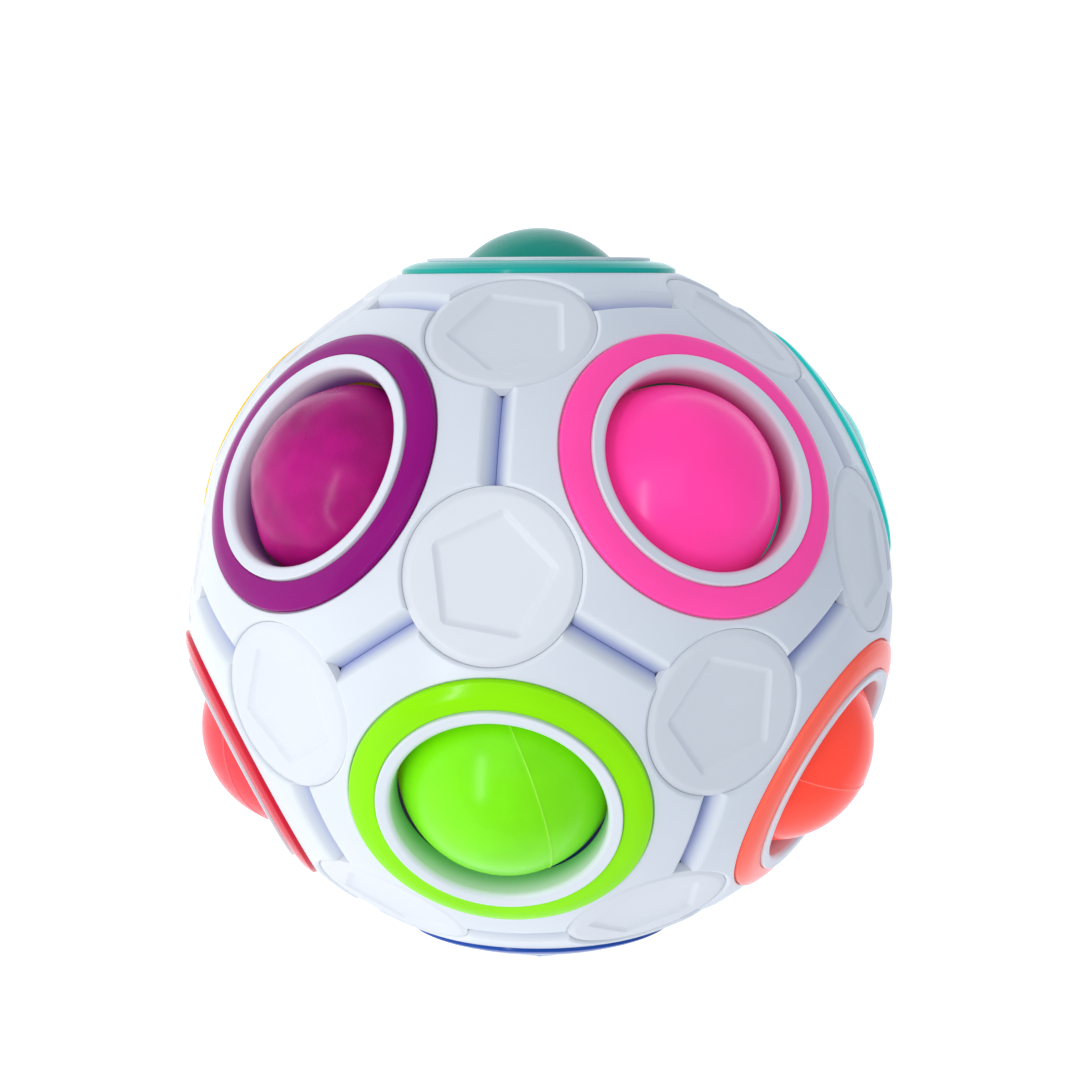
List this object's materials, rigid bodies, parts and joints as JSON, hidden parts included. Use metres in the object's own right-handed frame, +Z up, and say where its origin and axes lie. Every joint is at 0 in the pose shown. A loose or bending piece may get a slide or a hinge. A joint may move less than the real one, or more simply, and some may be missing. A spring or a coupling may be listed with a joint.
{
  "type": "ball-shifting puzzle sphere",
  "caption": "Hand-held puzzle sphere: white panelled shell with coloured ring round each hole; coloured balls press in against a springy core and roll under the shell into an empty hole.",
  "frame": {"origin": "centre of the flat collar rim of the empty hole, on which the sphere rests; the centre of the sphere is 33.7 mm above it", "axes": "+Z up through the centre of the sphere to the pink hole; -Y towards the side with the lime hole"},
  "size_m": [0.0698, 0.0704, 0.0708],
  "materials": {
    "white_shell": "satin white moulded plastic",
    "white_caps": "satin white moulded plastic, shallow pentagon relief",
    "soft_core": "matt elastomer",
    "ring_pink": "satin coloured plastic",
    "ring_purple": "satin coloured plastic",
    "ring_lime": "satin coloured plastic",
    "ring_coral": "satin coloured plastic",
    "ring_turquoise": "satin coloured plastic",
    "ring_teal": "satin coloured plastic",
    "ring_red": "satin coloured plastic",
    "ring_blue": "satin coloured plastic",
    "ring_sky": "satin coloured plastic",
    "ring_yellow": "satin coloured plastic",
    "ring_amber": "satin coloured plastic",
    "ring_violet": "satin coloured plastic",
    "ball_pink": "glossy coloured plastic with a faint moulding line",
    "ball_purple": "glossy coloured plastic with a faint moulding line",
    "ball_lime": "glossy coloured plastic with a faint moulding line",
    "ball_coral": "glossy coloured plastic with a faint moulding line",
    "ball_turquoise": "glossy coloured plastic with a faint moulding line",
    "ball_teal": "glossy coloured plastic with a faint moulding line",
    "ball_red": "glossy coloured plastic with a faint moulding line",
    "ball_blue": "glossy coloured plastic with a faint moulding line",
    "ball_sky": "glossy coloured plastic with a faint moulding line",
    "ball_yellow": "glossy coloured plastic with a faint moulding line",
    "ball_amber": "glossy coloured plastic with a faint moulding line"
  },
  "bodies": {
    "shell": {"panel_pink": "white_shell", "panel_purple": "white_shell", "panel_lime": "white_shell", "panel_coral": "white_shell", "panel_turquoise": "white_shell", "panel_teal": "white_shell", "panel_red": "white_shell", "panel_blue": "white_shell", "panel_sky": "white_shell", "panel_yellow": "white_shell", "panel_amber": "white_shell", "panel_violet": "white_shell", "ring_pink": "ring_pink", "ring_purple": "ring_purple", "ring_lime": "ring_lime", "ring_coral": "ring_coral", "ring_turquoise": "ring_turquoise", "ring_teal": "ring_teal", "ring_red": "ring_red", "ring_blue": "ring_blue", "ring_sky": "ring_sky", "ring_yellow": "ring_yellow", "ring_amber": "ring_amber", "ring_violet": "ring_violet", "cap_01": "white_caps", "cap_02": "white_caps", "cap_03": "white_caps", "cap_04": "white_caps", "cap_05": "white_caps", "cap_06": "white_caps", "cap_07": "white_caps", "cap_08": "white_caps", "cap_09": "white_caps", "cap_10": "white_caps", "cap_11": "white_caps", "cap_12": "white_caps", "cap_13": "white_caps", "cap_14": "white_caps", "cap_15": "white_caps", "cap_16": "white_caps", "cap_17": "white_caps", "cap_18": "white_caps", "cap_19": "white_caps", "cap_20": "white_caps", "elastic_core": "soft_core"},
    "ball_pink": {"ball_pink": "ball_pink"},
    "ball_purple": {"ball_purple": "ball_purple"},
    "ball_lime": {"ball_lime": "ball_lime"},
    "ball_coral": {"ball_coral": "ball_coral"},
    "ball_turquoise": {"ball_turquoise": "ball_turquoise"},
    "ball_teal": {"ball_teal": "ball_teal"},
    "ball_red": {"ball_red": "ball_red"},
    "ball_blue": {"ball_blue": "ball_blue"},
    "ball_sky": {"ball_sky": "ball_sky"},
    "ball_yellow": {"ball_yellow": "ball_yellow"},
    "ball_amber": {"ball_amber": "ball_amber"}
  },
  "joints": [
    {"name": "press_pink", "type": "slide", "parent": "shell", "child": "ball_pink", "axis": [0, 0, -1], "range_m": [0, 0.0048], "stiffness_N_per_m": 300, "springref_m": -0.002, "deforming": ["elastic_core"]},
    {"name": "press_purple", "type": "slide", "parent": "shell", "child": "ball_purple", "axis": [0.8507, 0.2764, -0.4472], "range_m": [0, 0.0048], "stiffness_N_per_m": 300, "springref_m": -0.002, "deforming": ["elastic_core"]},
    {"name": "press_lime", "type": "slide", "parent": "shell", "child": "ball_lime", "axis": [0, 0.8944, -0.4472], "range_m": [0, 0.0048], "stiffness_N_per_m": 300, "springref_m": -0.002, "deforming": ["elastic_core"]},
    {"name": "press_coral", "type": "slide", "parent": "shell", "child": "ball_coral", "axis": [-0.8507, 0.2764, -0.4472], "range_m": [0, 0.0048], "stiffness_N_per_m": 300, "springref_m": -0.002, "deforming": ["elastic_core"]},
    {"name": "press_turquoise", "type": "slide", "parent": "shell", "child": "ball_turquoise", "axis": [-0.5257, -0.7236, -0.4472], "range_m": [0, 0.0048], "stiffness_N_per_m": 300, "springref_m": -0.002, "deforming": ["elastic_core"]},
    {"name": "press_teal", "type": "slide", "parent": "shell", "child": "ball_teal", "axis": [0.5257, -0.7236, -0.4472], "range_m": [0, 0.0048], "stiffness_N_per_m": 300, "springref_m": -0.002, "deforming": ["elastic_core"]},
    {"name": "press_red", "type": "slide", "parent": "shell", "child": "ball_red", "axis": [0.5257, 0.7236, 0.4472], "range_m": [0, 0.0048], "stiffness_N_per_m": 300, "springref_m": -0.002, "deforming": ["elastic_core"]},
    {"name": "press_sky", "type": "slide", "parent": "shell", "child": "ball_sky", "axis": [-0.8507, -0.2764, 0.4472], "range_m": [0, 0.0048], "stiffness_N_per_m": 300, "springref_m": -0.002, "deforming": ["elastic_core"]},
    {"name": "press_yellow", "type": "slide", "parent": "shell", "child": "ball_yellow", "axis": [0, -0.8944, 0.4472], "range_m": [0, 0.0048], "stiffness_N_per_m": 300, "springref_m": -0.002, "deforming": ["elastic_core"]},
    {"name": "press_amber", "type": "slide", "parent": "shell", "child": "ball_amber", "axis": [0.8507, -0.2764, 0.4472], "range_m": [0, 0.0048], "stiffness_N_per_m": 300, "springref_m": -0.002, "deforming": ["elastic_core"]},
    {"name": "roll_blue", "type": "hinge", "parent": "shell", "child": "ball_blue", "pos_m": [0.01402, -0.0193, -0.00489], "axis": [-0.809, -0.5878, 0], "range_deg": [0, 63.57], "deforming": ["elastic_core"]}
  ]
}
